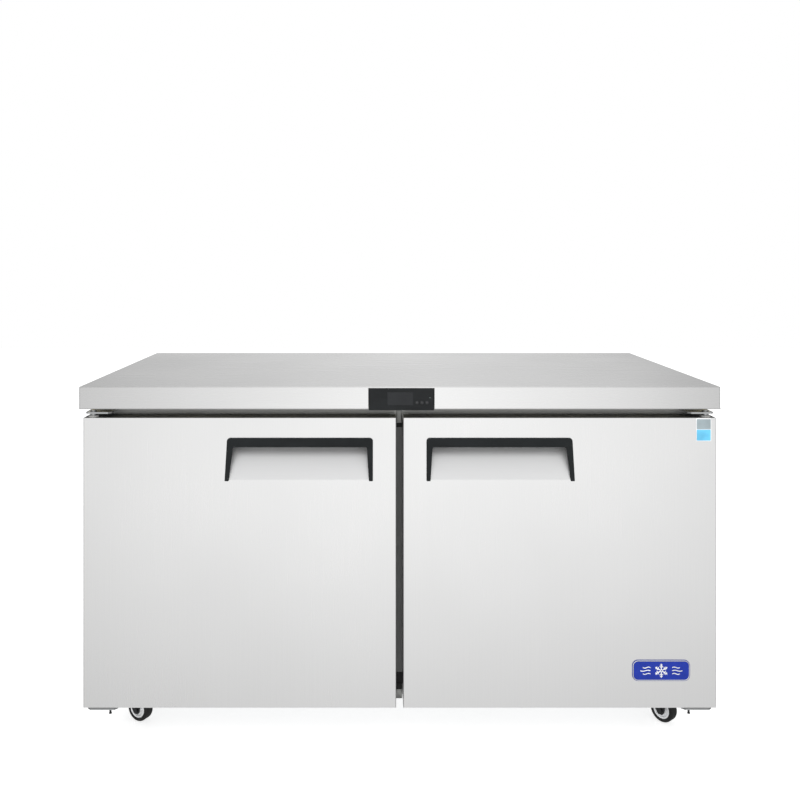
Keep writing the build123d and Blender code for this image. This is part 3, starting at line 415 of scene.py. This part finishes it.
def loop_extrude(bm, outline, y0, y1, bevel=0.0, mat=0):
    """Closed outline in X/Z, from y0 (front) to y1 (back), with the front edge eased by `bevel`."""
    n = len(outline)
    cx = sum(p[0] for p in outline) / n
    cz = sum(p[1] for p in outline) / n
    rings = []
    steps = [(bevel, 0.0), (bevel * 0.3, bevel * 0.3), (0.0, bevel)] if bevel else [(0.0, 0.0)]
    for inset, back in steps:
        ring = []
        for i, (x, z) in enumerate(outline):
            px, pz = outline[i - 1]
            nx, nz = outline[(i + 1) % n]
            tx, tz = nx - px, nz - pz
            ln = math.hypot(tx, tz) or 1.0
            ox, oz = -tz / ln, tx / ln
            if ox * (x - cx) + oz * (z - cz) > 0:
                ox, oz = -ox, -oz
            ring.append(bm.verts.new((x + ox * inset, y0 + back, z + oz * inset)))
        rings.append(ring)
    rings.append([bm.verts.new((x, y1, z)) for x, z in outline])
    faces = [bm.faces.new(rings[0]), bm.faces.new(list(reversed(rings[-1])))]
    for a, b in zip(rings, rings[1:]):
        for i in range(n):
            faces.append(bm.faces.new((a[i], a[(i + 1) % n], b[(i + 1) % n], b[i])))
    for f in faces:
        f.material_index = mat
    return faces


def rounded_rect(cx, cz, w, h, r, seg=8):
    pts = []
    for k, (sx, sz) in enumerate(((1, 1), (-1, 1), (-1, -1), (1, -1))):
        ox, oz = cx + sx * (w / 2 - r), cz + sz * (h / 2 - r)
        for i in range(seg + 1):
            a = math.radians(90 * k + 90 * i / seg)
            pts.append((ox + r * math.cos(a), oz + r * math.sin(a)))
    return pts


# ---------------------------------------------------------------- badge: rim and snowflake
lo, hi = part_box("name_plate")
BX, BZ, BY = (lo.x + hi.x) / 2, (lo.z + hi.z) / 2, lo.y
BW, BH = hi.x - lo.x, hi.z - lo.z


def rim_ring(bm, cx, cz, w, h, r, y_back, tube, seg=10, around=8):
    path = rounded_rect(cx, cz, w, h, r, seg)
    n = len(path)
    rings = []
    for i, (x, z) in enumerate(path):
        px, pz = path[i - 1]
        nx, nz = path[(i + 1) % n]
        t = Vector((nx - px, 0, nz - pz)).normalized()
        out = Vector((t.z, 0, -t.x))
        ring = []
        for k in range(around):
            b = 2 * math.pi * k / around
            off = out * (tube * math.cos(b)) + Vector((0, -1, 0)) * (tube * 0.8 * math.sin(b))
            ring.append(bm.verts.new(Vector((x, y_back, z)) + off))
        rings.append(ring)
    for i in range(n):
        a, b = rings[i], rings[(i + 1) % n]
        for k in range(around):
            bm.faces.new((a[k], a[(k + 1) % around], b[(k + 1) % around], b[k]))


bm = bmesh.new()
rim_ring(bm, BX, BZ, BW - 0.004, BH - 0.004, min(0.012, BH / 2 - 0.003), BY + 0.0004, 0.0013)
piece("badge_rim", bm, "right_door", [RIM])


def bar(bm, p0, p1, width, y0, y1):
    d = Vector((p1[0] - p0[0], p1[1] - p0[1]))
    n = Vector((-d.y, d.x)).normalized() * (width / 2)
    pts = [(p0[0] + n.x, p0[1] + n.y), (p1[0] + n.x, p1[1] + n.y),
           (p1[0] - n.x, p1[1] - n.y), (p0[0] - n.x, p0[1] - n.y)]
    loop_extrude(bm, pts, y0, y1, bevel=0.0002)


bm = bmesh.new()
for k in range(6):
    a = math.radians(30 + 60 * k)
    d = Vector((math.cos(a), math.sin(a)))
    c = Vector((BX, BZ))
    bar(bm, c + d * 0.0015, c + d * 0.0165, 0.0022, BY - 0.0007, BY + 0.0006)
    for at, ln in ((0.0075, 0.0050), (0.0120, 0.0036)):
        for s in (-1, 1):
            b = a + s * math.radians(55)
            e = Vector((math.cos(b), math.sin(b)))
            bar(bm, c + d * at, c + d * at + e * ln, 0.0017, BY - 0.0006, BY + 0.0006)
piece("badge_snowflake", bm, "right_door", [WHITE], smooth=False)
for s in (-1, 1):
    bm = bmesh.new()
    for k in range(3):
        z = BZ + (k - 1) * 0.0075
        x0 = BX + s * 0.026
        x1 = BX + s * (0.050 - abs(k - 1) * 0.006)
        pts = []
        steps = 14
        for i in range(steps + 1):
            t = i / steps
            pts.append((x0 + (x1 - x0) * t, z + 0.0012 * math.sin(t * math.pi * 2)))
        out = [(x, zz + 0.0009) for x, zz in pts] + [(x, zz - 0.0009) for x, zz in reversed(pts)]
        loop_extrude(bm, out, BY - 0.0006, BY + 0.0006)
    piece("badge_wave_" + ("l" if s < 0 else "r"), bm, "right_door", [WHITE], smooth=False)

# ---------------------------------------------------------------- rolled hem along the worktop's lower edge
lo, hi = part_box("worktop")
HEM_R, HEM_OUT = 0.0013, 0.0004
clo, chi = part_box("controller_housing")
bm = bmesh.new()
for s, stop in ((-1, clo.x - 0.0012), (1, chi.x + 0.0012)):
    end = lo.x if s < 0 else hi.x
    run = [(Vector((end, hi.y - 0.01, lo.z + HEM_R)), Vector((s, 0, 0))),
           (Vector((end, lo.y, lo.z + HEM_R)), Vector((s, -1, 0))),
           (Vector((stop, lo.y, lo.z + HEM_R)), Vector((0, -1, 0)))]
    rings = []
    for p, o in run:
        ring = []
        for k in range(9):
            a = math.radians(-90 + 180 * k / 8)
            ring.append(bm.verts.new(p + o * (HEM_OUT + HEM_R * (math.cos(a) - 1)) + Vector((0, 0, HEM_R * math.sin(a)))))
        rings.append(ring)
    for a, b in zip(rings, rings[1:]):
        for k in range(8):
            bm.faces.new((a[k], b[k], b[k + 1], a[k + 1]))
        bm.faces.new((a[0], a[8], b[8], b[0]))
    bm.faces.new(rings[0])
    bm.faces.new(list(reversed(rings[-1])))
piece("worktop_hem", bm, "cabinet", [STEEL_TOP])

# lower lip of the controller bezel
bm = bmesh.new()
bmesh.ops.create_cube(bm, size=1.0)
for v in bm.verts:
    v.co = Vector(((clo.x + chi.x) / 2 + v.co.x * (chi.x - clo.x - 0.0006), clo.y + 0.0066 + v.co.y * 0.0126,
                   clo.z - 0.0013 + v.co.z * 0.0042))
bmesh.ops.bevel(bm, geom=list(bm.edges), offset=0.0004, segments=2, affect="EDGES")
piece("controller_lip", bm, "cabinet", [BEZEL])

# ---------------------------------------------------------------- cover plate over the head of the centre post
bm = bmesh.new()
loop_extrude(bm, rounded_rect(0.0, 0.7885, 0.0158, 0.045, 0.0015, 4), -0.3052, -0.3040, bevel=0.0003)
# painted shade: the cover plate's dark steel stands in for the shade in the gap
piece("post_cover", bm, "cabinet", [STEEL_CLIP_PAINTED_SHADE])

# ---------------------------------------------------------------- foot of the centre post, with its black trim
bm = bmesh.new()
loop_extrude(bm, rounded_rect(0.0, 0.0975, 0.0160, 0.0225, 0.0012, 4), -0.3052, -0.3040, bevel=0.0003)
# painted shade: the foot's dark steel stands in for the shade under the doors
piece("post_foot", bm, "cabinet", [STEEL_CLIP_PAINTED_SHADE])
bm = bmesh.new()
loop_extrude(bm, rounded_rect(0.0, 0.1165, 0.0160, 0.0154, 0.0008, 4), -0.3048, -0.3040, bevel=0.0002)
piece("post_foot_trim", bm, "cabinet", [BLACK])

# ---------------------------------------------------------------- plain two-tone sticker
bm = bmesh.new()
SX, SZ, SW, SH = 0.726, 0.763, 0.036, 0.055
loop_extrude(bm, rounded_rect(SX, SZ, SW, SH, 0.0015, 4), -0.37625, -0.376, bevel=0.00008, mat=2)
loop_extrude(bm, rounded_rect(SX, SZ + 0.0125, SW - 0.003, SH / 2 - 0.0035, 0.001, 4), -0.37635, -0.3762, mat=0)
loop_extrude(bm, rounded_rect(SX, SZ - 0.0135, SW - 0.003, SH / 2 - 0.0015, 0.001, 4), -0.37635, -0.3762, mat=1)
piece("door_sticker", bm, "right_door", [STICK_GREY, STICK_CYAN, WHITE], smooth=False)

# ---------------------------------------------------------------- controller lamp and key marks
bm = bmesh.new()
bmesh.ops.create_uvsphere(bm, u_segments=20, v_segments=10, radius=0.0013)
for v in bm.verts:
    v.co = Vector((v.co.x + 0.072, v.co.y * 0.5 - 0.3803, v.co.z + 0.8395))
LAMP = coated("lamp_lens", (0.16, 0.20, 0.19), 0.0, 0.12, vary=0.05, bump=0.01, spec=0.6)
piece("controller_lamp", bm, "cabinet", [LAMP])


def mark(name, body, pts, y):
    bm = bmesh.new()
    loop_extrude(bm, pts, y - 0.00012, y + 0.0001)
    piece(name, bm, body, [WHITE_MARK], smooth=False)


WHITE_MARK = moulded("key_mark", (0.075, 0.080, 0.080), 0.5)
for name, x, up in (("button_up", 0.053, 1), ("button_down", 0.065, -1)):
    z = 0.828
    mark(name + "_mark", name, [(x - 0.0016, z - 0.0010 * up), (x + 0.0016, z - 0.0010 * up), (x, z + 0.0016 * up)]
         if up > 0 else [(x + 0.0016, z + 0.0010), (x - 0.0016, z + 0.0010), (x, z - 0.0016)], -0.3808)
mark("button_set_mark", "button_set",
     [(0.041 + 0.0014 * math.cos(i * math.pi / 8), 0.828 + 0.0014 * math.sin(i * math.pi / 8)) for i in range(16)],
     -0.3808)

# ---------------------------------------------------------------- stage and light
floor_bm = bmesh.new()
bmesh.ops.create_grid(floor_bm, x_segments=4, y_segments=4, size=9)
floor_mesh = bpy.data.meshes.new("floor")
floor_bm.to_mesh(floor_mesh)
floor_bm.free()
floor = bpy.data.objects.new("floor", floor_mesh)
scene.collection.objects.link(floor)
fm = Mat("floor_paper")
fm.set(Roughness=0.9, Specular_IOR_Level=0.0)
fm.color(fm.mix(fm.rng(fm.noise(40, detail=2), 0, 1, 0.3, 0.7), (0.90, 0.90, 0.90), (0.92, 0.92, 0.92)))
fm.set(Emission_Color=(1, 1, 1, 1), Emission_Strength=0.715)
floor_mesh.materials.append(fm.mat)
floor.visible_glossy = False

world = bpy.data.worlds.new("studio")
scene.world = world
world.use_nodes = True
wt = world.node_tree
wt.nodes.clear()


def wn(kind):
    return wt.nodes.new(kind)


tc = wn("ShaderNodeTexCoord")
sep = wn("ShaderNodeSeparateXYZ")
wt.links.new(tc.outputs["Generated"], sep.inputs[0])


def wramp(sock, lo, hi, stops):
    mr = wn("ShaderNodeMapRange")
    mr.inputs["From Min"].default_value = lo
    mr.inputs["From Max"].default_value = hi
    wt.links.new(sock, mr.inputs["Value"])
    r = wn("ShaderNodeValToRGB")
    r.color_ramp.interpolation = "EASE"
    e = r.color_ramp.elements
    e[0].position, e[0].color = (stops[0][0] - lo) / (hi - lo), (*[stops[0][1]] * 3, 1)
    e[1].position, e[1].color = (stops[-1][0] - lo) / (hi - lo), (*[stops[-1][1]] * 3, 1)
    for pos, val in stops[1:-1]:
        x = e.new((pos - lo) / (hi - lo))
        x.color = (val, val, val, 1)
    wt.links.new(mr.outputs[0], r.inputs[0])
    return r.outputs[0]


def wmath(op, a, b):
    m = wn("ShaderNodeMath")
    m.operation = op
    for i, v in enumerate((a, b)):
        if isinstance(v, (int, float)):
            m.inputs[i].default_value = v
        else:
            wt.links.new(v, m.inputs[i])
    return m.outputs[0]


FRONT = [(-1.0, 0.36), (-0.62, 0.50), (-0.46, 0.77), (-0.34, 1.16), (-0.22, 1.29), (-0.10, 1.25),
         (0.0, 1.20), (0.18, 1.10), (0.42, 0.95), (0.65, 0.80), (1.0, 1.1)]
BACK = [(-1.0, 0.45), (-0.2, 0.72), (0.0, 1.08), (0.095, 1.07), (0.16, 0.74), (0.35, 0.60), (0.65, 0.72),
        (1.0, 1.1)]
ACROSS = [(-1.0, 0.38), (-0.6, 0.52), (-0.36, 0.76), (-0.25, 0.90), (-0.04, 1.0), (0.10, 1.0),
          (0.25, 0.94), (0.36, 0.82), (0.7, 0.54), (1.0, 0.38)]
front = wramp(sep.outputs["Z"], -1, 1, FRONT)
back = wramp(sep.outputs["Z"], -1, 1, BACK)
side = wramp(sep.outputs["Y"], -1, 1, [(-1.0, 0.0), (-0.25, 0.0), (0.25, 1.0), (1.0, 1.0)])
across = wramp(sep.outputs["X"], -1, 1, ACROSS)
lum = wmath("ADD", wmath("MULTIPLY", front, wmath("SUBTRACT", 1.0, side)), wmath("MULTIPLY", back, side))
lum = wmath("MULTIPLY", lum, across)
bg_light = wn("ShaderNodeBackground")
wt.links.new(lum, bg_light.inputs["Color"])
bg_seen = wn("ShaderNodeBackground")
bg_seen.inputs["Color"].default_value = (1, 1, 1, 1)
bg_seen.inputs["Strength"].default_value = 1.0
lp = wn("ShaderNodeLightPath")
mixw = wn("ShaderNodeMixShader")
wt.links.new(lp.outputs["Is Camera Ray"], mixw.inputs[0])
wt.links.new(bg_light.outputs[0], mixw.inputs[1])
wt.links.new(bg_seen.outputs[0], mixw.inputs[2])
wout = wn("ShaderNodeOutputWorld")
wt.links.new(mixw.outputs[0], wout.inputs[0])


def softbox(name, loc, target, size, power):
    light = bpy.data.lights.new(name, "AREA")
    light.shape = "RECTANGLE"
    light.size, light.size_y = size
    light.energy = power
    obj = bpy.data.objects.new(name, light)
    obj.location = loc
    d = Vector(target) - Vector(loc)
    obj.rotation_euler = d.to_track_quat("-Z", "Y").to_euler()
    obj.visible_glossy = False
    scene.collection.objects.link(obj)
    return obj


softbox("key", (-2.2, -3.4, 3.2), (0, -0.2, 0.4), (2.2, 1.6), 30)
softbox("fill", (2.6, -3.0, 2.2), (0, -0.2, 0.4), (1.8, 1.8), 18)
